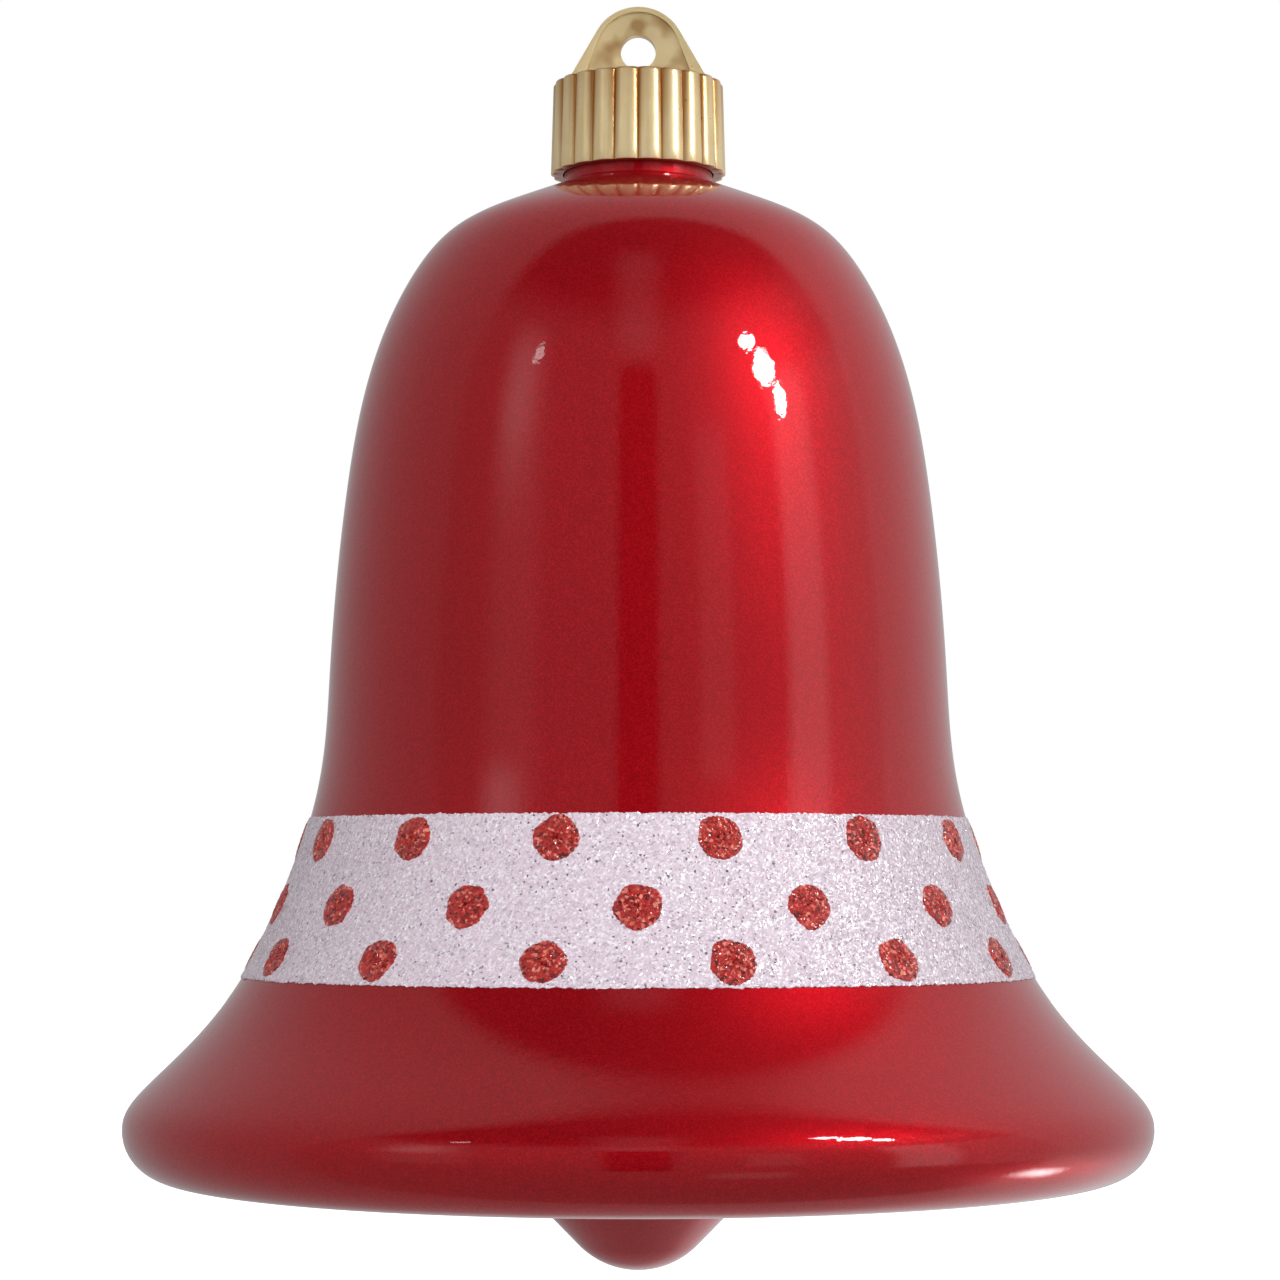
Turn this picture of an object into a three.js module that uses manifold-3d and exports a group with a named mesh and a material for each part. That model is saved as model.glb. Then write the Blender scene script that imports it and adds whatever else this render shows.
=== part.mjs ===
// A hollow moulded christmas bell ornament with a band of glitter and a push-on hanging cap.
// Millimetres, +Z up, front towards -Y. The origin is the centre of the hanging hole in the cap.
import * as THREE from 'three';
import { mergeVertices } from 'three/addons/utils/BufferGeometryUtils.js';
import Module from 'manifold-3d';

const wasm = await Module();
wasm.setup();

// Cap: a fluted cup over the neck, with a lug standing across its top.
const CAP_TOP = -7.2;
const CAP_HEIGHT = 21;
const CAP_RADIUS = 19.9; // over the ribs, at the lower edge
const CAP_DRAFT = 0.55; // how much narrower the cap is at its top
const CAP_EDGE = 1.2; // rounding of the upper edge
const CAP_PLATE = 1.6;
const CAP_BORE_RADIUS = 17.2;
const FLUTE_COUNT = 22;
const FLUTE_DEPTH = 1.0;
const RIB_ROUNDNESS = 0.9; // share of a half circle that a rib's section follows
const STEPS_PER_FLUTE = 8;

// Lug: an arch with straight flanks, a raised border and a thinner web round the hole.
const HOLE_RADIUS = 4;
const LUG_THICKNESS = 4.6;
const LUG_ARCH_Z = -0.5; // height of the arch's centre
const LUG_ARCH_RADIUS = 10.8;
const LUG_HALF_BASE = 16.3;
const LUG_ROOT = 1; // how far the lug runs down into the cap's plate
const WEB_THICKNESS = 2.8;
const WEB_ARCH_RADIUS = 9.7;
const WEB_HALF_BASE = 12.9;
const LUG_CURVE_SEGMENTS = 10;

// Bell: one thin blow-moulded shell, closed underneath and open at the neck.
const WALL = 1.5;
const NECK_RADIUS = 16.9;
const NECK_TOP = -10.5;
const SHOULDER_Z = -30.6;
const RIM_RADIUS = 114.3;
const RIM_Z = -243; // height of the widest circle
const RIM_BOTTOM = -253.9;
const LIP_WIDTH = 11.1; // from the widest circle in to the lowest one
const CLAPPER_TIP = -275.1;
const CLAPPER_RADIUS = 18.7;
const CLAPPER_SLOPE = Math.PI / 4;

// Flank of the bell from shoulder to rim, as radius and height.
const FLANK = [
  [NECK_RADIUS, SHOULDER_Z], [31, -36.1], [43, -42.4], [51.8, -53.2], [61.2, -76.2],
  [65.9, -102], [69.3, -141], [71.3, -165], [75.4, -181], [82.4, -198.5],
  [90.1, -212.7], [98.6, -223.4], [105.2, -230], [109.3, -234], [111.7, -236.6],
  [113.4, -239.1], [114.2, -241.5], [RIM_RADIUS, RIM_Z],
];

// Closed underside from the moulded clapper out to the lip, as radius and height.
const UNDERSIDE = [
  [28.7, RIM_BOTTOM], [36.5, -247], [46, -244], [62, -243.2], [78, -244.2],
  [88, -247.4], [96, -252], [RIM_RADIUS - LIP_WIDTH, RIM_BOTTOM],
];

// Glitter: a band round the flare, with three staggered rows of dots on it.
const BAND_TOP = -174.7;
const BAND_BOTTOM = -210.3;
const BAND_STEPS = 5;
const GLITTER_THICKNESS = 0.4;
const GLUE_GAP = 0.3;
const DOTS_PER_ROW = 14;
const DOT_RADIUS = 5;
const DOT_SIDES = 12;
const DOT_ROWS = [
  { name: 'top', z: -179.8, stagger: 0.5 },
  { name: 'middle', z: -193.9, stagger: 0 },
  { name: 'bottom', z: -205.1, stagger: 0.5 },
];
const ROUND_STEPS = 4 * DOTS_PER_ROW;

const FINISHES = {
  shell: { color: 0xa80f1c, roughness: 0.18, metalness: 0.35 },
  cap: { color: 0xd2b064, roughness: 0.15, metalness: 0.95 },
  band: { color: 0xd6cddb, roughness: 0.45, metalness: 0.3 },
  dot: { color: 0xb3201a, roughness: 0.4, metalness: 0.4 },
};

function subpart(name, geometry, finish) {
  const mesh = new THREE.Mesh(geometry, new THREE.MeshStandardMaterial(FINISHES[finish]));
  mesh.name = name;
  return mesh;
}

// Keeps the positions only, with shared vertices merged.
function weld(geometry) {
  geometry.deleteAttribute('normal');
  geometry.deleteAttribute('uv');
  return mergeVertices(geometry);
}

function toSolid(geometry) {
  const welded = weld(geometry);
  return new wasm.Manifold(new wasm.Mesh({
    numProp: 3,
    vertProperties: new Float32Array(welded.attributes.position.array),
    triVerts: new Uint32Array(welded.index.array),
  }));
}

function toGeometry(solid) {
  const mesh = solid.getMesh();
  const geometry = new THREE.BufferGeometry();
  geometry.setAttribute('position', new THREE.BufferAttribute(mesh.vertProperties, mesh.numProp));
  geometry.setIndex(new THREE.BufferAttribute(mesh.triVerts, 1));
  return geometry;
}

function toVectors(pairs) {
  return pairs.map(([radius, height]) => new THREE.Vector2(radius, height));
}

// Turns a profile of radius and height round the Z axis; azimuth 0 is the front.
function turned(profile, steps) {
  return new THREE.LatheGeometry(profile, steps).rotateX(Math.PI / 2);
}

// Moves an open profile sideways, to the left of its direction.
function offsetProfile(points, distance) {
  return points.map((point, i) => {
    const before = points[Math.max(i - 1, 0)];
    const after = points[Math.min(i + 1, points.length - 1)];
    const along = after.clone().sub(before).normalize();
    return new THREE.Vector2(point.x - along.y * distance, point.y + along.x * distance);
  });
}

// ---------------------------------------------------------------- cap

// 1 at the bottom of a flute's valley, 0 on top of the round ribs; a valley faces the front.
function valley(azimuth) {
  const turns = (FLUTE_COUNT * azimuth) / (2 * Math.PI);
  const acrossRib = 2 * (turns - Math.floor(turns)) - 1;
  const drop = (share) => 1 - Math.sqrt(1 - (RIB_ROUNDNESS * share) ** 2);
  return drop(acrossRib) / drop(1);
}

function flutedCup() {
  const capBottom = CAP_TOP - CAP_HEIGHT;
  const edgeStart = CAP_RADIUS - CAP_DRAFT - CAP_EDGE;
  const roundedEdge = new THREE.EllipseCurve(
    edgeStart, CAP_TOP - CAP_EDGE, CAP_EDGE, CAP_EDGE, 0, Math.PI / 2,
  ).getPoints(3);
  const profile = [
    new THREE.Vector2(0, CAP_TOP - CAP_PLATE),
    new THREE.Vector2(CAP_BORE_RADIUS, CAP_TOP - CAP_PLATE),
    new THREE.Vector2(CAP_BORE_RADIUS, capBottom),
    new THREE.Vector2(CAP_RADIUS, capBottom),
    ...roundedEdge,
    new THREE.Vector2(0, CAP_TOP),
  ];
  const cup = turned(profile, FLUTE_COUNT * STEPS_PER_FLUTE);
  const place = cup.attributes.position;
  const outerWall = (edgeStart + CAP_BORE_RADIUS) / 2;
  for (let i = 0; i < place.count; i += 1) {
    const x = place.getX(i);
    const y = place.getY(i);
    const radius = Math.hypot(x, y);
    if (radius > outerWall) {
      const scale = 1 - FLUTE_DEPTH * valley(Math.atan2(x, -y)) / radius;
      place.setXY(i, x * scale, y * scale);
    }
  }
  return toSolid(cup);
}

// An arch whose straight flanks are tangent to it and run down to the cap's top.
function archShape(archRadius, halfBase) {
  const drop = LUG_ARCH_Z - CAP_TOP;
  const touch = Math.acos(archRadius / Math.hypot(halfBase, drop)) - Math.atan2(drop, halfBase);
  const shape = new THREE.Shape();
  shape.moveTo(-halfBase, CAP_TOP - LUG_ROOT);
  shape.lineTo(halfBase, CAP_TOP - LUG_ROOT);
  shape.lineTo(halfBase, CAP_TOP);
  shape.absarc(0, LUG_ARCH_Z, archRadius, touch, Math.PI - touch, false);
  shape.lineTo(-halfBase, CAP_TOP);
  return shape;
}

// Extrudes a shape of the XZ plane between two depths behind the front.
function upright(shape, front, back) {
  const options = { depth: back - front, bevelEnabled: false, curveSegments: LUG_CURVE_SEGMENTS };
  return toSolid(new THREE.ExtrudeGeometry(shape, options).rotateX(Math.PI / 2).translate(0, back, 0));
}

function hangingLug() {
  const outline = archShape(LUG_ARCH_RADIUS, LUG_HALF_BASE);
  outline.holes.push(new THREE.Path().absarc(0, 0, HOLE_RADIUS, 0, 2 * Math.PI, true));
  const web = archShape(WEB_ARCH_RADIUS, WEB_HALF_BASE);
  return upright(outline, -LUG_THICKNESS / 2, LUG_THICKNESS / 2)
    .subtract(upright(web, -LUG_THICKNESS, -WEB_THICKNESS / 2))
    .subtract(upright(web, WEB_THICKNESS / 2, LUG_THICKNESS));
}

function hangerCap() {
  return toGeometry(flutedCup().add(hangingLug()));
}

// --------------------------------------------------------------- bell

function flankCurve() {
  return new THREE.SplineCurve(toVectors(FLANK));
}

// Parameter at which the flank passes a height; the flank falls all the way.
function flankParameter(z) {
  const curve = flankCurve();
  let above = 0;
  let below = 1;
  while (below - above > 1e-7) {
    const middle = (above + below) / 2;
    if (curve.getPoint(middle).y > z) above = middle;
    else below = middle;
  }
  return above;
}

// A point lifted off the flank along its outward normal, at a parameter.
function liftedFlank(parameter, lift) {
  const curve = flankCurve();
  const along = curve.getTangent(parameter);
  return curve.getPoint(parameter).add(new THREE.Vector2(-along.y, along.x).multiplyScalar(lift));
}

function bellShell() {
  const clapper = new THREE.EllipseCurve(
    0, CLAPPER_TIP + CLAPPER_RADIUS, CLAPPER_RADIUS, CLAPPER_RADIUS,
    -Math.PI / 2, -CLAPPER_SLOPE,
  ).getPoints(4);
  const lip = new THREE.EllipseCurve(
    RIM_RADIUS - LIP_WIDTH, RIM_Z, LIP_WIDTH, RIM_Z - RIM_BOTTOM, -Math.PI / 2, 0,
  ).getPoints(5);
  const underside = new THREE.SplineCurve(toVectors(UNDERSIDE)).getPoints(8);
  const flank = flankCurve().getPoints(26).reverse();
  const outside = [
    ...clapper,
    ...underside.slice(0, -1),
    ...lip,
    ...flank.slice(1),
    new THREE.Vector2(NECK_RADIUS, NECK_TOP),
  ];
  const inside = offsetProfile(outside, WALL)
    .filter((point, i) => i % 2 === 0 || i > outside.length - 3)
    .reverse();
  outside[0].x = 0;
  inside[inside.length - 1].x = 0;
  return weld(turned([...outside, ...inside], ROUND_STEPS));
}

// ------------------------------------------------------------ glitter

function glitterBand() {
  const from = flankParameter(BAND_BOTTOM);
  const to = flankParameter(BAND_TOP);
  const face = (lift) => Array.from({ length: BAND_STEPS + 1 }, (unused, i) => (
    liftedFlank(from + (to - from) * i / BAND_STEPS, lift)
  ));
  const outside = face(GLUE_GAP + GLITTER_THICKNESS);
  const inside = face(GLUE_GAP).reverse();
  return weld(turned([...outside, ...inside, outside[0].clone()], ROUND_STEPS));
}

// A round dot bent to lie over the band.
function glitterDot(azimuth, z) {
  const middleLift = 2 * GLUE_GAP + 1.5 * GLITTER_THICKNESS;
  const steepness = -flankCurve().getTangent(flankParameter(z)).y;
  const dot = new THREE.CylinderGeometry(DOT_RADIUS, DOT_RADIUS, GLITTER_THICKNESS, DOT_SIDES);
  const place = dot.attributes.position;
  for (let i = 0; i < place.count; i += 1) {
    const height = z - place.getZ(i) * steepness;
    const point = liftedFlank(flankParameter(height), middleLift + place.getY(i));
    const turn = azimuth + place.getX(i) / point.x;
    place.setXYZ(i, point.x * Math.sin(turn), -point.x * Math.cos(turn), point.y);
  }
  return weld(dot);
}

function glitterDots() {
  return DOT_ROWS.flatMap(({ name, z, stagger }) => (
    Array.from({ length: DOTS_PER_ROW }, (unused, i) => {
      const number = String(i + 1).padStart(2, '0');
      const azimuth = 2 * Math.PI * (i + stagger) / DOTS_PER_ROW;
      return subpart(`glitter_dot_${name}_${number}`, glitterDot(azimuth, z), 'dot');
    })
  ));
}

const bell = new THREE.Group();
bell.add(
  subpart('bell_shell', bellShell(), 'shell'),
  subpart('glitter_band', glitterBand(), 'band'),
  ...glitterDots(),
);

const ornament = new THREE.Group();
ornament.add(subpart('hanger_cap', hangerCap(), 'cap'), bell);

export default ornament;
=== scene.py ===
"""Looks of the christmas bell ornament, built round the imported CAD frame.

A candy-red pearl bell with a ragged band of silver glitter, glitter dots and a metallised gold cap.
"""
import math
import random

import bpy
import bmesh
import numpy as np
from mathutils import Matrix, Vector


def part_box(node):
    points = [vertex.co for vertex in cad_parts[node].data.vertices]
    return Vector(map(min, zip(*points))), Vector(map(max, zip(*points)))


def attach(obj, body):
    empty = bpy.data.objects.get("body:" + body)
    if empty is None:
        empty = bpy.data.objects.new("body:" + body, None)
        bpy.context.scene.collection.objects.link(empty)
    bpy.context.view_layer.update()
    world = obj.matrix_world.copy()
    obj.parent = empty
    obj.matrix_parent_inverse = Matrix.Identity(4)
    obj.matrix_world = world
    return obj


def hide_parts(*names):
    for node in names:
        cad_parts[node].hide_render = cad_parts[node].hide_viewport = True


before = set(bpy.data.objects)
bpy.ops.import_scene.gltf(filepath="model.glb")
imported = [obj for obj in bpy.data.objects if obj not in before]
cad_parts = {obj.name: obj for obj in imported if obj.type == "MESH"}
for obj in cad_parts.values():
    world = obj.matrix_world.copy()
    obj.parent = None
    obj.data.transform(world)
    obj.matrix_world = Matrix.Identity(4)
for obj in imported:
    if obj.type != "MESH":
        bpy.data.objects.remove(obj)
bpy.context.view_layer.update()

# ------------------------------------------------------------- sizes from the frame
SHELL_LOW, SHELL_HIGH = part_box("bell_shell")
CAP_LOW, CAP_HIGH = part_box("hanger_cap")
BAND_LOW, BAND_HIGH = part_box("glitter_band")
MM = SHELL_HIGH.x / 114.3  # one millimetre of the outline, from the rim's radius

NECK_RADIUS = 16.9 * MM
NECK_TOP = SHELL_HIGH.z
NECK_FOOT = -30.4 * MM
MOUTH_ROUNDING = 0.4 * MM
WALL = 1.5 * MM
RIM_RADIUS = SHELL_HIGH.x
RIM_Z = -243 * MM
RIM_BOTTOM = -253.9 * MM
LIP_WIDTH = 11.1 * MM
CLAPPER_TIP = SHELL_LOW.z
CLAPPER_RADIUS = 18.7 * MM
SHELL_STEPS = 288

CAP_TOP = -7.2 * MM
CAP_BOTTOM = CAP_LOW.z
CAP_RADIUS = 19.9 * MM
CAP_DRAFT = 0.55 * MM
CAP_EDGE = 0.8 * MM
CAP_BORE = 17.2 * MM
CAP_PLATE = 1.6 * MM
FLUTES = 22
FLUTE_DEPTH = 1.0 * MM
RIB_ROUNDNESS = 0.9
FLUTE_STEPS = 24  # in each rib
LUG_ARCH_Z = -0.5 * MM
ARCH_STEPS = 49
HOLE_RADIUS = 4.0 * MM
HOLE_STEPS = 72

DOT_RADIUS = 5.0 * MM
COAT_REST = 0.02 * MM  # from the shell to the back of the band
BAND_THICKNESS = 0.34 * MM

# Flank from shoulder to rim and underside from clapper to lip, as radius and height in MM.
FLANK = (
    (17.2, -30.7), (31, -36.1), (43, -42.4), (51.8, -53.2), (61.2, -76.2), (65.9, -102),
    (69.3, -141), (71.3, -165), (75.4, -181), (82.4, -198.5), (90.1, -212.7), (98.6, -223.4),
    (105.2, -230), (109.3, -234), (111.7, -236.6), (113.4, -239.1), (114.2, -241.5), (114.3, -243),
)
UNDERSIDE = (
    (28.7, -253.9), (36.5, -247), (46, -244), (62, -243.2), (78, -244.2), (88, -247.4),
    (96, -252), (103.2, -253.9),
)

SEED = 20
ON_AXIS = 1e-7  # metres; a nearer point of a profile is on the axis


# ------------------------------------------------------------------- shape helpers
def smooth_curve(points, count):
    """A cubic spline with even curvature through the points, sampled evenly along its chords."""
    points = np.array(points, float)
    knots = np.concatenate(([0.0], np.cumsum(np.linalg.norm(np.diff(points, axis=0), axis=1))))
    n = len(points)
    gaps = np.diff(knots)
    matrix = np.eye(n)
    right = np.zeros((n, 2))
    for i in range(1, n - 1):
        matrix[i, i - 1:i + 2] = gaps[i - 1], 2 * (gaps[i - 1] + gaps[i]), gaps[i]
        slope_change = (points[i + 1] - points[i]) / gaps[i] - (points[i] - points[i - 1]) / gaps[i - 1]
        right[i] = 6 * slope_change
    bend = np.linalg.solve(matrix, right)
    at = np.linspace(0, knots[-1], count)
    k = np.clip(np.searchsorted(knots, at) - 1, 0, n - 2)
    h = gaps[k][:, None]
    a = (knots[k + 1] - at)[:, None] / h
    b = 1 - a
    curve = a * points[k] + b * points[k + 1]
    curve += ((a ** 3 - a) * bend[k] + (b ** 3 - b) * bend[k + 1]) * h ** 2 / 6
    return curve


def offset(profile, distance):
    """The profile moved to the left of its direction."""
    along = np.gradient(profile, axis=0)
    along /= np.linalg.norm(along, axis=1)[:, None]
    return profile + np.column_stack((-along[:, 1], along[:, 0])) * distance


def arc(centre, radii, start, end, count):
    """Points along part of an ellipse, from the start angle to the end angle."""
    turn = np.linspace(start, end, count)
    return np.column_stack((centre[0] + radii[0] * np.cos(turn), centre[1] + radii[1] * np.sin(turn)))


def new_object(name, vertices, faces, smooth_angle=None):
    """A mesh object, faceted unless an angle is given below which its edges are smooth."""
    mesh = bpy.data.meshes.new(name)
    mesh.from_pydata([tuple(v) for v in vertices], [], faces)
    mesh.validate()
    piece = bpy.data.objects.new(name, mesh)
    bpy.context.scene.collection.objects.link(piece)
    if smooth_angle is not None:
        mesh.shade_smooth()
        mesh.set_sharp_from_angle(angle=math.radians(smooth_angle))
    return piece


def revolved(name, profile, steps, smooth_angle=40.0):
    """Turns a profile of radius and height round Z. Ends on the axis become single points."""
    vertices = []
    rings = []
    for radius, height in profile:
        if radius < ON_AXIS:
            rings.append([len(vertices)] * steps)
            vertices.append((0.0, 0.0, height))
            continue
        rings.append(list(range(len(vertices), len(vertices) + steps)))
        for i in range(steps):
            turn = 2 * math.pi * i / steps
            vertices.append((radius * math.sin(turn), -radius * math.cos(turn), height))
    faces = []
    for lower, upper in zip(rings, rings[1:]):
        for i in range(steps):
            j = (i + 1) % steps
            corners = [lower[i], lower[j], upper[j], upper[i]]
            faces.append([c for k, c in enumerate(corners) if c != corners[k - 1]])
    return new_object(name, vertices, faces, smooth_angle)


FLANK_CURVE = smooth_curve(FLANK, 400) * MM
FLANK_NORMALS = FLANK_CURVE - offset(FLANK_CURVE, -1.0)


def on_flank(z, lift):
    """Radius and height of a point lifted off the flank where the flank passes a height."""
    at = np.interp(-z, -FLANK_CURVE[:, 1], np.arange(len(FLANK_CURVE)))
    index = np.arange(len(FLANK_CURVE))
    place = [np.interp(at, index, FLANK_CURVE[:, k]) for k in (0, 1)]
    normal = [np.interp(at, index, FLANK_NORMALS[:, k]) for k in (0, 1)]
    return place[0] + normal[0] * lift, place[1] + normal[1] * lift


def flank_steepness(z):
    """Horizontal part of the flank's normal: 1 where the flank stands upright."""
    return on_flank(z, 1.0)[0] - on_flank(z, 0.0)[0]


# ---------------------------------------------------------------- material helpers
class Nodes:
    """A material's node tree with short calls for adding and linking nodes."""

    def __init__(self, name):
        self.material = bpy.data.materials.new(name)
        self.material.use_nodes = True
        self.tree = self.material.node_tree
        self.shader = self.tree.nodes["Principled BSDF"]
        self.place = self.add("ShaderNodeTexCoord").outputs["Object"]

    def add(self, kind, **values):
        node = self.tree.nodes.new(kind)
        for key, value in values.items():
            setattr(node, key, value)
        return node

    def link(self, source, target):
        self.tree.links.new(source, target)

    def set(self, **values):
        """Constant values of the shader's inputs, named with underscores for spaces."""
        for key, value in values.items():
            self.shader.inputs[key.replace("_", " ")].default_value = value

    def noise(self, size, detail=2.0):
        node = self.add("ShaderNodeTexNoise")
        node.inputs["Scale"].default_value = 1 / size
        node.inputs["Detail"].default_value = detail
        self.link(self.place, node.inputs["Vector"])
        return node.outputs["Fac"]

    def cells(self, size):
        """Voronoi cells: a colour and a centre for each."""
        node = self.add("ShaderNodeTexVoronoi")
        node.inputs["Scale"].default_value = 1 / size
        self.link(self.place, node.inputs["Vector"])
        return node

    def ramp(self, source, stops):
        node = self.add("ShaderNodeValToRGB")
        elements = node.color_ramp.elements
        while len(elements) < len(stops):
            elements.new(0.5)
        for element, (position, color) in zip(elements, stops):
            element.position = position
            element.color = (*color, 1.0)
        self.link(source, node.inputs["Fac"])
        return node.outputs["Color"]

    def calculate(self, operation, *values):
        node = self.add("ShaderNodeMath", operation=operation)
        for socket, value in zip(node.inputs, values):
            if isinstance(value, float):
                socket.default_value = value
            else:
                self.link(value, socket)
        return node.outputs[0]

    def between(self, source, low, high):
        """0 to 1 as the source goes from low to high."""
        node = self.add("ShaderNodeMapRange")
        node.inputs["From Min"].default_value = low
        node.inputs["From Max"].default_value = high
        self.link(source, node.inputs["Value"])
        return node.outputs["Result"]

    def spread(self, source, low, high):
        """From low to high as the source goes from 0 to 1."""
        node = self.add("ShaderNodeMapRange")
        node.inputs["To Min"].default_value = low
        node.inputs["To Max"].default_value = high
        self.link(source, node.inputs["Value"])
        return node.outputs["Result"]

    def facets(self, cells, tilt):
        """A normal that leans by up to the tilt, a slope, in a direction of its own in each cell."""
        across = self.add("ShaderNodeVectorMath", operation="SUBTRACT")
        self.link(self.place, across.inputs[0])
        self.link(cells.outputs["Position"], across.inputs[1])
        lean = self.add("ShaderNodeVectorMath", operation="SUBTRACT")
        self.link(cells.outputs["Color"], lean.inputs[0])
        lean.inputs[1].default_value = (0.5, 0.5, 0.5)
        slope = self.add("ShaderNodeVectorMath", operation="DOT_PRODUCT")
        self.link(across.outputs["Vector"], slope.inputs[0])
        self.link(lean.outputs["Vector"], slope.inputs[1])
        return self.bump(slope.outputs["Value"], 2 * tilt)

    def bump(self, source, depth, strength=1.0):
        node = self.add("ShaderNodeBump")
        node.inputs["Distance"].default_value = depth
        node.inputs["Strength"].default_value = strength
        self.link(source, node.inputs["Height"])
        return node.outputs["Normal"]


def red_pearl():
    """Candy red over fine pearl flake, under a thick clear coat with a faint orange peel."""
    m = Nodes("candy_red_pearl")
    m.set(Metallic=0.8, Specular_IOR_Level=0.0, Coat_Weight=1.0, Coat_Roughness=0.025, Coat_IOR=1.5)
    flake = m.cells(0.25 * MM)
    tone = m.add("ShaderNodeSeparateColor")
    m.link(flake.outputs["Color"], tone.inputs["Color"])
    m.link(m.ramp(tone.outputs["Red"], (
        (0.0, (0.43, 0.004, 0.010)), (0.55, (0.53, 0.006, 0.013)), (1.0, (0.66, 0.009, 0.017)),
    )), m.shader.inputs["Base Color"])
    m.link(m.spread(m.noise(14 * MM), 0.42, 0.50), m.shader.inputs["Roughness"])
    m.link(m.facets(flake, 0.05), m.shader.inputs["Normal"])
    m.link(m.bump(m.noise(1.5 * MM, 2.0), 0.03 * MM, 0.6), m.shader.inputs["Coat Normal"])
    return m.material


def gold_film():
    """Pale vacuum-metallised gold on moulded plastic, with painted shade in brown in the flute valleys,
    inside the cup and on the lug's recessed web, and brown patches of painted reflection on the web.
    """
    m = Nodes("metallised_gold")
    m.set(Metallic=0.72, Specular_IOR_Level=0.2, Coat_Weight=0.2, Coat_Roughness=0.12)
    axes = m.add("ShaderNodeSeparateXYZ")
    m.link(m.place, axes.inputs[0])
    x, y, z = axes.outputs
    squares = m.calculate("ADD", m.calculate("POWER", x, 2.0), m.calculate("POWER", y, 2.0))
    radius = m.calculate("SQRT", squares)
    # Painted shade: brown in the flute valleys and everywhere inside the cup, below the top plate.
    on_rib = m.between(radius, CAP_RADIUS - 1.15 * MM, CAP_RADIUS - 0.35 * MM)
    on_border = m.between(m.calculate("ABSOLUTE", y), 1.5 * MM, 1.9 * MM)
    on_skirt = m.calculate("LESS_THAN", z, CAP_TOP - 0.1 * MM)
    # Painted reflection: brown patches on the lug's recessed web. Painted shade: the web between the
    # borders never gets the full gold.
    painted_reflection_patches = m.between(m.noise(4.5 * MM, 0.8), 0.32, 0.54)
    on_lug = m.calculate("MAXIMUM", on_border, m.calculate("MULTIPLY_ADD", painted_reflection_patches, 0.62, 0.30))
    clear_of_painted_shade = m.calculate("ADD", m.calculate("MULTIPLY", on_rib, on_skirt), m.calculate(
        "MULTIPLY", on_lug, m.calculate("SUBTRACT", 1.0, on_skirt),
    ))
    film = m.ramp(m.noise(5 * MM, 4.0), ((0.25, (0.90, 0.70, 0.35)), (0.75, (0.97, 0.80, 0.47))))
    painted_shade_mix = m.add("ShaderNodeMix", data_type="RGBA")
    m.link(clear_of_painted_shade, painted_shade_mix.inputs["Factor"])
    # The brown of the painted shade and the painted reflections.
    painted_shade_mix.inputs["A"].default_value = (0.42, 0.19, 0.05, 1.0)
    m.link(film, painted_shade_mix.inputs["B"])
    m.link(painted_shade_mix.outputs["Result"], m.shader.inputs["Base Color"])
    m.link(m.spread(m.noise(1.4 * MM, 3.0), 0.24, 0.36), m.shader.inputs["Roughness"])
    m.link(m.bump(m.noise(1.1 * MM, 2.0), 0.008 * MM, 0.5), m.shader.inputs["Normal"])
    return m.material


def glitter(name, flake_size, sparkle_size, stops, metallic, roughness):
    """Fine flakes, each cell with its own tone, gloss and tilt, under larger clear ones that sparkle."""
    m = Nodes(name)
    m.set(Coat_Weight=1.0, Coat_Roughness=0.12, Coat_IOR=1.7)
    flake = m.cells(flake_size)
    tone = m.add("ShaderNodeSeparateColor")
    m.link(flake.outputs["Color"], tone.inputs["Color"])
    m.link(m.ramp(tone.outputs["Red"], stops), m.shader.inputs["Base Color"])
    m.link(m.ramp(tone.outputs["Green"], (
        (0.0, (metallic,) * 3), (0.955, (metallic,) * 3), (0.985, (0.9,) * 3),
    )), m.shader.inputs["Metallic"])
    m.link(m.spread(tone.outputs["Green"], *roughness), m.shader.inputs["Roughness"])
    m.link(m.facets(flake, 0.25), m.shader.inputs["Normal"])
    m.link(m.facets(m.cells(sparkle_size), 0.34), m.shader.inputs["Coat Normal"])
    return m.material


def silver_glitter():
    return glitter("silver_glitter_flakes", 0.45 * MM, 0.85 * MM, (
        (0.0, (0.44, 0.36, 0.44)), (0.08, (0.62, 0.51, 0.58)), (0.7, (0.76, 0.64, 0.73)),
        (1.0, (0.97, 0.93, 0.98)),
    ), 0.10, (0.60, 0.20))


def red_glitter():
    return glitter("red_glitter_flakes", 0.6 * MM, 0.85 * MM, (
        (0.0, (0.08, 0.003, 0.004)), (0.25, (0.40, 0.011, 0.009)), (0.80, (0.60, 0.030, 0.020)),
        (1.0, (1.0, 0.32, 0.24)),
    ), 0.35, (0.50, 0.15))


# ------------------------------------------------------------------------- pieces
def keep(piece, material, body, slot, *nodes):
    """Gives the piece its material and body, and hides the CAD nodes that it stands for. The slot is not
    used.
    """
    piece.data.materials.append(material)
    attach(piece, body)
    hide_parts(*nodes)
    return piece


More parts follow.
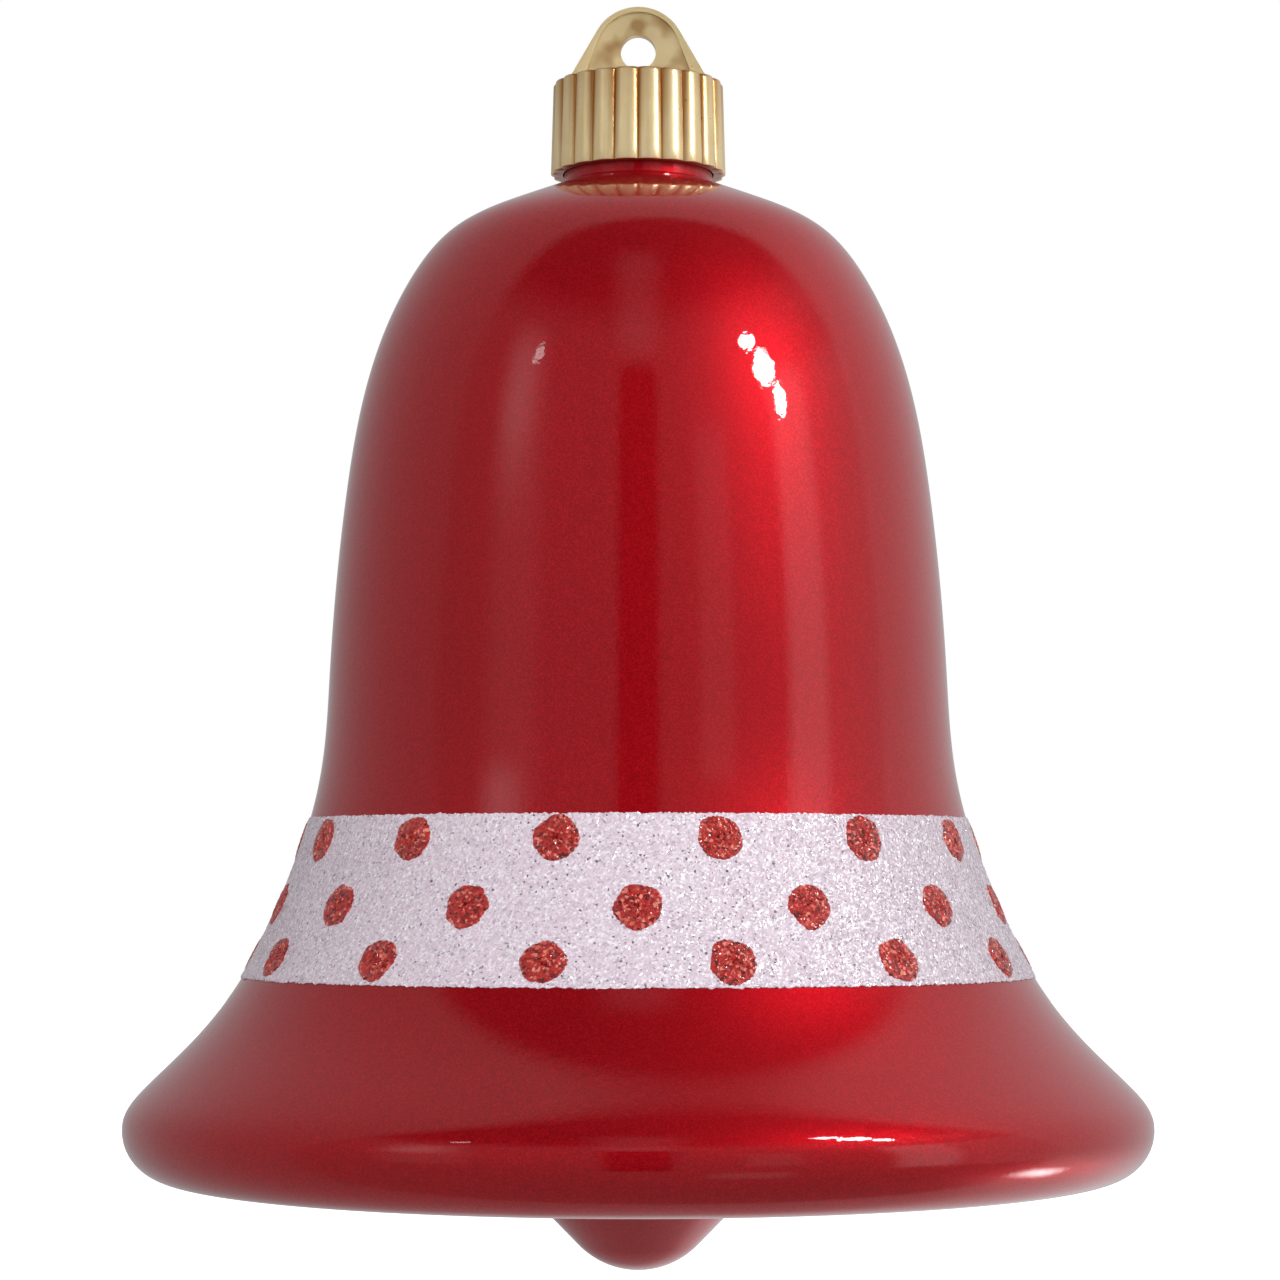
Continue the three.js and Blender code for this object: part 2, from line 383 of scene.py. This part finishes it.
def make_shell():
    """The blow-moulded bell with its wall, open neck and closed underside."""
    cone_slope = math.pi / 4
    clapper_centre = (0, CLAPPER_TIP + CLAPPER_RADIUS)
    clapper = arc(clapper_centre, (CLAPPER_RADIUS,) * 2, -math.pi / 2, -cone_slope, 24)
    clapper[0, 0] = 0.0
    underside = smooth_curve(UNDERSIDE, 60) * MM
    lip = arc((RIM_RADIUS - LIP_WIDTH, RIM_Z), (LIP_WIDTH, RIM_Z - RIM_BOTTOM), -math.pi / 2, 0, 36)
    flank = FLANK_CURVE[::-2]
    neck = [(NECK_RADIUS, z) for z in np.linspace(NECK_FOOT, NECK_TOP - MOUTH_ROUNDING, 12)]
    chamfer = 0.3 * MOUTH_ROUNDING
    mouth = [(NECK_RADIUS - chamfer, NECK_TOP - chamfer), (NECK_RADIUS - MOUTH_ROUNDING, NECK_TOP)]
    outside = np.vstack((clapper, underside[:-1], lip, flank[1:], neck, mouth))
    inside = offset(outside[:-1], WALL)[::3][::-1]
    inside[-1, 0] = 0.0
    inside[0] = (NECK_RADIUS - WALL, NECK_TOP - 0.5 * MOUTH_ROUNDING)
    shell = revolved("moulded_bell", np.vstack((outside, inside)), SHELL_STEPS)
    return keep(shell, red_pearl(), "bell", "red_shell", "bell_shell")


def make_band(material):
    """The glitter band: a thin coat of facets with ragged edges, closed against the shell."""
    rng = np.random.default_rng(SEED)
    columns = 1000
    rows = 68
    inner_rows = 24
    edge_wander = 0.11 * MM
    edge_inset = 0.22 * MM
    roughness = 0.085 * MM
    top = on_flank(BAND_HIGH.z, 0.0)[1]
    bottom = on_flank(BAND_LOW.z, 0.0)[1]
    share = np.linspace(0, 1, rows)
    heights = bottom + (top - bottom) * share[:, None] + np.zeros((rows, columns))
    step = (top - bottom) / rows
    heights[1:-1] += rng.uniform(-0.35, 0.35, (rows - 2, columns)) * step
    heights[-1] += rng.normal(0, edge_wander, columns) - edge_inset
    heights[0] += rng.normal(0, edge_wander, columns) + edge_inset
    turns = 2 * math.pi * (np.arange(columns) + rng.uniform(-0.3, 0.3, (rows, columns))) / columns
    lifts = BAND_THICKNESS + rng.uniform(-1, 1, (rows, columns)) * roughness
    lifts[[0, -1]] = BAND_THICKNESS - 0.12 * MM
    vertices = []
    for row_heights, row_turns, row_lifts in zip(heights, turns, lifts):
        radius, height = on_flank(row_heights, row_lifts)
        vertices += zip(radius * np.sin(row_turns), -radius * np.cos(row_turns), height)
    for t in np.linspace(1, 0, inner_rows):  # back face, lying on the shell
        row_heights = heights[0] + (heights[-1] - heights[0]) * t
        row_turns = turns[0] + (turns[-1] - turns[0]) * t
        radius, height = on_flank(row_heights, np.full(columns, COAT_REST))
        vertices += zip(radius * np.sin(row_turns), -radius * np.cos(row_turns), height)
    faces = []
    for r in range(rows + inner_rows):
        below = r * columns
        above = (r + 1) % (rows + inner_rows) * columns
        for i in range(columns):
            j = (i + 1) % columns
            faces.append((below + i, below + j, above + j, above + i))
    band = new_object("silver_glitter_band", vertices, faces)
    return keep(band, material, "bell", "silver_glitter", "glitter_band")


def make_dot(node, material, rng):
    """One glitter dot: a low ragged dome of facets on the band."""
    low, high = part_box(node)
    centre = (low + high) / 2
    azimuth = math.atan2(centre.x, -centre.y)
    stand_off = 1.2 * MM  # of the CAD dot's middle from the flank
    rise = 0.35  # of the flank's normal under the dots
    z = centre.z - stand_off * rise
    steepness = flank_steepness(z)
    rings = 15
    spokes = 62
    foot = 0.30 * MM
    radius = DOT_RADIUS * rng.uniform(0.96, 1.02)
    waves = [(k, rng.uniform(0.0, 0.035), rng.uniform(0, 2 * math.pi)) for k in (2, 3, 4, 5, 7)]
    vertices = []
    for ring in range(rings + 1):
        out = ring / rings
        for s in range(spokes):
            turn = 2 * math.pi * (s + rng.uniform(-0.3, 0.3)) / spokes
            wave = 1 + sum(size * math.sin(k * turn + start) for k, size, start in waves)
            reach = radius * wave * (out + rng.uniform(-0.4, 0.4) / rings * (0 < ring < rings))
            if ring == rings:
                reach += rng.uniform(-0.22, 0.12) * MM
            lift = (0.50 + 0.36 * (1 - out ** 4) + rng.uniform(-0.13, 0.13)) * MM
            if ring == rings:
                lift = foot
            vertices.append((reach * math.cos(turn), reach * math.sin(turn), lift))
            if ring == 0:
                break
    wrapped = []
    for across, up, lift in vertices + [(0.0, 0.0, foot)]:
        r, height = on_flank(z + up * steepness, lift)
        turn = azimuth + across / r
        wrapped.append((r * math.sin(turn), -r * math.cos(turn), height))
    faces = []
    for s in range(spokes):
        t = (s + 1) % spokes
        faces.append((0, 1 + s, 1 + t))
        for ring in range(1, rings):
            inner = 1 + (ring - 1) * spokes
            outer = inner + spokes
            faces.append((inner + s, outer + s, outer + t))
            faces.append((inner + s, outer + t, inner + t))
        rim = 1 + (rings - 1) * spokes
        faces.append((rim + t, rim + s, len(wrapped) - 1))
    dot = new_object(node.replace("glitter_dot", "red_dot"), wrapped, faces)
    return keep(dot, material, "bell", "red_glitter", node)


def make_dots(material):
    rng = random.Random(SEED)
    nodes = [name for name in sorted(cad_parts) if name.startswith("glitter_dot")]
    return [make_dot(node, material, rng) for node in nodes]


def fluted_cup():
    """The cap's skirt and top: convex ribs with narrow valleys that run out in rounded ends."""
    top_radius = CAP_RADIUS - CAP_DRAFT
    ceiling = CAP_TOP - CAP_PLATE
    rounding = 0.25 * MM
    nick = 0.07 * MM
    skirt_foot = CAP_BOTTOM + rounding
    skirt_height = CAP_TOP - CAP_EDGE - skirt_foot
    wall = [
        (CAP_BORE, CAP_BOTTOM), (CAP_BORE + 0.2 * MM, CAP_BOTTOM), (CAP_RADIUS - rounding, CAP_BOTTOM),
        (CAP_RADIUS - nick, CAP_BOTTOM + nick), (CAP_RADIUS, skirt_foot),
    ]
    skirt = [
        (CAP_RADIUS - CAP_DRAFT * t, skirt_foot + t * skirt_height) for t in np.linspace(0.1, 0.95, 8)
    ]
    edge = arc((top_radius - CAP_EDGE, CAP_TOP - CAP_EDGE), (CAP_EDGE, CAP_EDGE), 0, math.pi / 2, 8)
    profile = [(0.0, ceiling), (CAP_BORE - 1 * MM, ceiling), (CAP_BORE, ceiling)]
    profile += wall + skirt + [tuple(p) for p in edge] + [(14 * MM, CAP_TOP), (0.0, CAP_TOP)]
    cup = revolved("gold_cap", profile, FLUTES * FLUTE_STEPS, smooth_angle=50)
    start = CAP_BORE + 0.3 * MM
    for vertex in cup.data.vertices:
        x, y, _ = vertex.co
        radius = math.hypot(x, y)
        if radius > start:
            turn = math.atan2(x, -y)
            across_rib = 2 * (FLUTES * turn / (2 * math.pi) % 1) - 1
            drop = 1 - math.sqrt(1 - (RIB_ROUNDNESS * across_rib) ** 2)
            valley = drop / (1 - math.sqrt(1 - RIB_ROUNDNESS ** 2))
            fade = min(1.0, (radius - start) / (0.6 * MM))
            scale = 1 - FLUTE_DEPTH * valley * fade / radius
            vertex.co.x *= scale
            vertex.co.y *= scale
    return cup


def arch_outline(arch_radius, half_base, foot, steps):
    """Points of an arch with straight tangent flanks, from its right foot round to its left."""
    drop = LUG_ARCH_Z - CAP_TOP
    touch = math.acos(arch_radius / math.hypot(half_base, drop)) - math.atan2(drop, half_base)
    turns = np.linspace(touch, math.pi - touch, steps)
    points = [(half_base, foot), (half_base, CAP_TOP)]
    points += [(arch_radius * math.cos(t), LUG_ARCH_Z + arch_radius * math.sin(t)) for t in turns]
    return points + [(-half_base, CAP_TOP), (-half_base, foot)]


def prism(name, outline, hole, front, back):
    """A flat piece in the XZ plane with an optional round hole."""
    curve = bpy.data.curves.new(name, "CURVE")
    curve.dimensions = "2D"
    curve.fill_mode = "BOTH"
    curve.extrude = (back - front) / 2
    loops = [outline]
    if hole:
        turns = np.linspace(0, 2 * math.pi, HOLE_STEPS + 1)[:-1]
        loops.append([(hole * math.cos(t), hole * math.sin(t)) for t in turns])
    for loop in loops:
        spline = curve.splines.new("POLY")
        spline.points.add(len(loop) - 1)
        for point, (x, z) in zip(spline.points, loop):
            point.co = (x, z, 0, 1)
        spline.use_cyclic_u = True
    holder = bpy.data.objects.new(name, curve)
    mesh = bpy.data.meshes.new_from_object(holder)
    bpy.data.objects.remove(holder)
    piece = bpy.data.objects.new(name, mesh)
    bpy.context.scene.collection.objects.link(piece)
    for vertex in mesh.vertices:
        x, z, y = vertex.co
        vertex.co = (x, -y + (front + back) / 2, z)
    work = bmesh.new()
    work.from_mesh(mesh)
    bmesh.ops.remove_doubles(work, verts=work.verts, dist=1e-6)
    bmesh.ops.recalc_face_normals(work, faces=work.faces)
    work.to_mesh(mesh)
    work.free()
    return piece


def apply_modifiers(piece):
    """Turns the piece's modifiers into mesh."""
    depsgraph = bpy.context.evaluated_depsgraph_get()
    mesh = bpy.data.meshes.new_from_object(piece.evaluated_get(depsgraph))
    piece.modifiers.clear()
    piece.data = mesh


def combine(piece, other, operation):
    """A boolean with the other piece, which is used up."""
    step = piece.modifiers.new(operation, "BOOLEAN")
    step.operation = operation
    step.solver = "EXACT"
    step.object = other
    apply_modifiers(piece)
    bpy.data.objects.remove(other)


def round_edges(piece, width, segments):
    """Rounds the piece's sharp edges."""
    rounding = piece.modifiers.new("rounding", "BEVEL")
    rounding.width = width
    rounding.segments = segments
    rounding.limit_method = "ANGLE"
    rounding.angle_limit = math.radians(40)
    apply_modifiers(piece)


def make_cap():
    """The gold cap: the fluted cup joined to the lug with its border, web and hole."""
    cup = fluted_cup()
    foot = CAP_TOP - 0.8 * MM
    half = 2.3 * MM
    web = 1.4 * MM
    outline = arch_outline(10.8 * MM, 16.3 * MM, foot, ARCH_STEPS)
    lug = prism("lug", outline, HOLE_RADIUS, -half, half)
    round_edges(lug, 1.0 * MM, 6)
    inner_outline = arch_outline(9.7 * MM, 12.9 * MM, foot - MM, ARCH_STEPS)
    for front, back in ((-2 * half, -web), (web, 2 * half)):
        pocket = prism("pocket", inner_outline, None, front, back)
        combine(lug, pocket, "DIFFERENCE")
    round_edges(lug, 0.3 * MM, 3)
    combine(cup, lug, "UNION")
    cup.data.shade_smooth()
    cup.data.set_sharp_from_angle(angle=math.radians(40))
    return keep(cup, gold_film(), "cap", "gold_cap", "hanger_cap")


# ----------------------------------------------------------------- camera and stage
def toward(azimuth, elevation):
    """Unit vector; azimuth 0 points from the bell to the camera, positive to the right."""
    a = math.radians(azimuth)
    e = math.radians(elevation)
    return Vector((math.sin(a) * math.cos(e), -math.cos(a) * math.cos(e), math.sin(e)))


def make_camera():
    """The photograph's viewpoint, looking a little up at the bell."""
    data = bpy.data.cameras.new("camera")
    data.sensor_width = 36
    data.lens = 97.67
    data.clip_start = 0.01
    camera = bpy.data.objects.new("camera", data)
    camera.location = Vector((0.4, -782.5, -188.2)) * MM
    camera.rotation_euler = (math.radians(90 + 3.94), 0, 0)
    bpy.context.scene.collection.objects.link(camera)
    bpy.context.scene.camera = camera


def area_light(name, target, direction, distance, size, watts, roll=0.0):
    """An oval lamp that faces the target from a direction and a distance in metres."""
    data = bpy.data.lights.new(name, "AREA")
    data.shape = "ELLIPSE"
    data.size, data.size_y = size
    data.energy = watts
    lamp = bpy.data.objects.new(name, data)
    lamp.location = Vector(target) + direction * distance
    facing = (-direction).to_track_quat("-Z", "Y")
    lamp.rotation_euler = facing.to_euler()
    lamp.rotation_euler.rotate_axis("Z", math.radians(roll))
    lamp.visible_camera = False
    bpy.context.scene.collection.objects.link(lamp)
    return lamp


def make_lights():
    """A lamp in three parts high on the right, a small one on the left and a broad soft fill."""
    chest = (27 * MM, -57 * MM, -81 * MM)
    for name, azimuth, elevation, size, watts in (
        ("key_upper", 52.0, 37.9, (0.054, 0.030), 0.16),
        ("key_middle", 57.0, 31.4, (0.070, 0.056), 0.33),
        ("key_lower", 62.0, 25.0, (0.044, 0.040), 0.18),
    ):
        area_light(name, chest, toward(azimuth, elevation), 0.42, size, watts)
    left_chest = (-20 * MM, -58 * MM, -80 * MM)
    area_light("left_lamp", left_chest, toward(-46, 35), 0.6, (0.03, 0.05), 0.018, roll=-40)
    fill = area_light("front_fill", (0, 0, -150 * MM), toward(-4, 20), 1.4, (1.6, 1.2), 19.0)
    fill.visible_glossy = False


# Soft panels of the room: azimuth, elevation, half width, half height, blur, change of level.
PANELS = (
    ("window_strip", 65, 8, 8, 22, 0.06, 0.85),
    ("right_strip", 29, 10, 6, 14, 0.05, 0.22),
    ("left_strip", -47, 14, 9, 16, 0.09, 0.18),
    ("left_lamp_glow", -51, 29, 6, 9, 0.10, 0.75),
    ("right_wall", 88, 8, 14, 22, 0.06, 0.24),
    ("low_right_lamp", 108, -29, 6, 2.5, 0.09, 15.0),
    ("ceiling_strip", 0, 52, 7, 15, 0.09, 0.26),
    ("floor_patch", 25, -24, 8, 6, 0.06, 0.32),
    ("camera_and_stand", 0, 10, 7, 24, 0.05, -0.30),
    ("low_right_card", 140, -32, 40, 18, 0.15, 0.35),
)


def make_world():
    """The room that the bell reflects, and plain white behind it for the camera."""
    world = bpy.data.worlds.new("studio")
    bpy.context.scene.world = world
    world.use_nodes = True
    tree = world.node_tree
    tree.nodes.clear()

    def add(kind, **values):
        node = tree.nodes.new(kind)
        for key, value in values.items():
            setattr(node, key, value)
        return node

    def feed(socket, value):
        if isinstance(value, (int, float)):
            socket.default_value = value
        else:
            tree.links.new(value, socket)

    def calculate(operation, *values):
        node = add("ShaderNodeMath", operation=operation)
        for socket, value in zip(node.inputs, values):
            feed(socket, value)
        return node.outputs[0]

    direction = add("ShaderNodeTexCoord").outputs["Generated"]

    def beyond(normal, blur, level=0.0):
        """0 to 1 across a plane through the eye, or a cone round the normal at another level."""
        dot = add("ShaderNodeVectorMath", operation="DOT_PRODUCT")
        tree.links.new(direction, dot.inputs[0])
        dot.inputs[1].default_value = Vector(normal).normalized()
        ramp = add("ShaderNodeMapRange", interpolation_type="SMOOTHSTEP")
        feed(ramp.inputs["Value"], dot.outputs["Value"])
        ramp.inputs["From Min"].default_value = level - blur
        ramp.inputs["From Max"].default_value = level + blur
        return ramp.outputs["Result"]

    def panel(azimuth, elevation, width, height, blur):
        """A soft-edged rectangle of the room seen from the bell."""
        ahead = toward(azimuth, elevation)
        right = toward(azimuth + 90, 0)
        up = ahead.cross(right)
        inside = 1.0
        for across, half in ((right, width), (up, height)):
            for side in (-1, 1):
                lean = math.radians(half)
                edge = ahead * math.sin(lean) + across * (side * math.cos(lean))
                inside = calculate("MULTIPLY", inside, beyond(edge, blur))
        return inside

    # Pale tent behind the plane, a dim room in front of it with a dark ceiling.
    behind = beyond((-0.196, 0.98, 0.026), 0.07)
    rightward = beyond((1, 0, 0), 1.0)
    tent = calculate("MULTIPLY_ADD", rightward, 0.26, 0.35)
    room = calculate("MULTIPLY_ADD", beyond((0, 0, -1), 0.09, -0.72), 0.23, 0.03)
    level = calculate("ADD", calculate("MULTIPLY", behind, calculate("SUBTRACT", tent, room)), room)
    for name, azimuth, elevation, width, height, blur, change in PANELS:
        level = calculate("MULTIPLY_ADD", panel(azimuth, elevation, width, height, blur), change, level)
    level = calculate("MAXIMUM", level, 0.01)

    seen = add("ShaderNodeLightPath").outputs["Is Camera Ray"]
    ambient = add("ShaderNodeBackground")
    ambient.inputs["Color"].default_value = (1.0, 0.97, 0.99, 1)
    feed(ambient.inputs["Strength"], level)
    white = add("ShaderNodeBackground")
    white.inputs["Color"].default_value = (1, 1, 1, 1)
    mix = add("ShaderNodeMixShader")
    tree.links.new(seen, mix.inputs["Fac"])
    tree.links.new(ambient.outputs[0], mix.inputs[1])
    tree.links.new(white.outputs[0], mix.inputs[2])
    tree.links.new(mix.outputs[0], add("ShaderNodeOutputWorld").inputs["Surface"])


def make_floor():
    """A plain white floor under the hanging bell."""
    half = 6.0
    z = SHELL_LOW.z - 0.15
    corners = [(-half, -half, z), (half, -half, z), (half, half, z), (-half, half, z)]
    floor = new_object("floor", corners, [(0, 1, 2, 3)])
    material = bpy.data.materials.new("pale_floor")
    material.use_nodes = True
    shader = material.node_tree.nodes["Principled BSDF"]
    shader.inputs["Base Color"].default_value = (0.9, 0.9, 0.9, 1)
    shader.inputs["Roughness"].default_value = 0.9
    shader.inputs["Emission Color"].default_value = (1, 1, 1, 1)
    shader.inputs["Emission Strength"].default_value = 1.0
    floor.data.materials.append(material)
    floor.visible_glossy = False
    floor.visible_diffuse = False


bpy.context.scene.view_settings.view_transform = "Standard"
make_camera()
make_world()
make_lights()
make_floor()
make_shell()
make_band(silver_glitter())
make_dots(red_glitter())
make_cap()
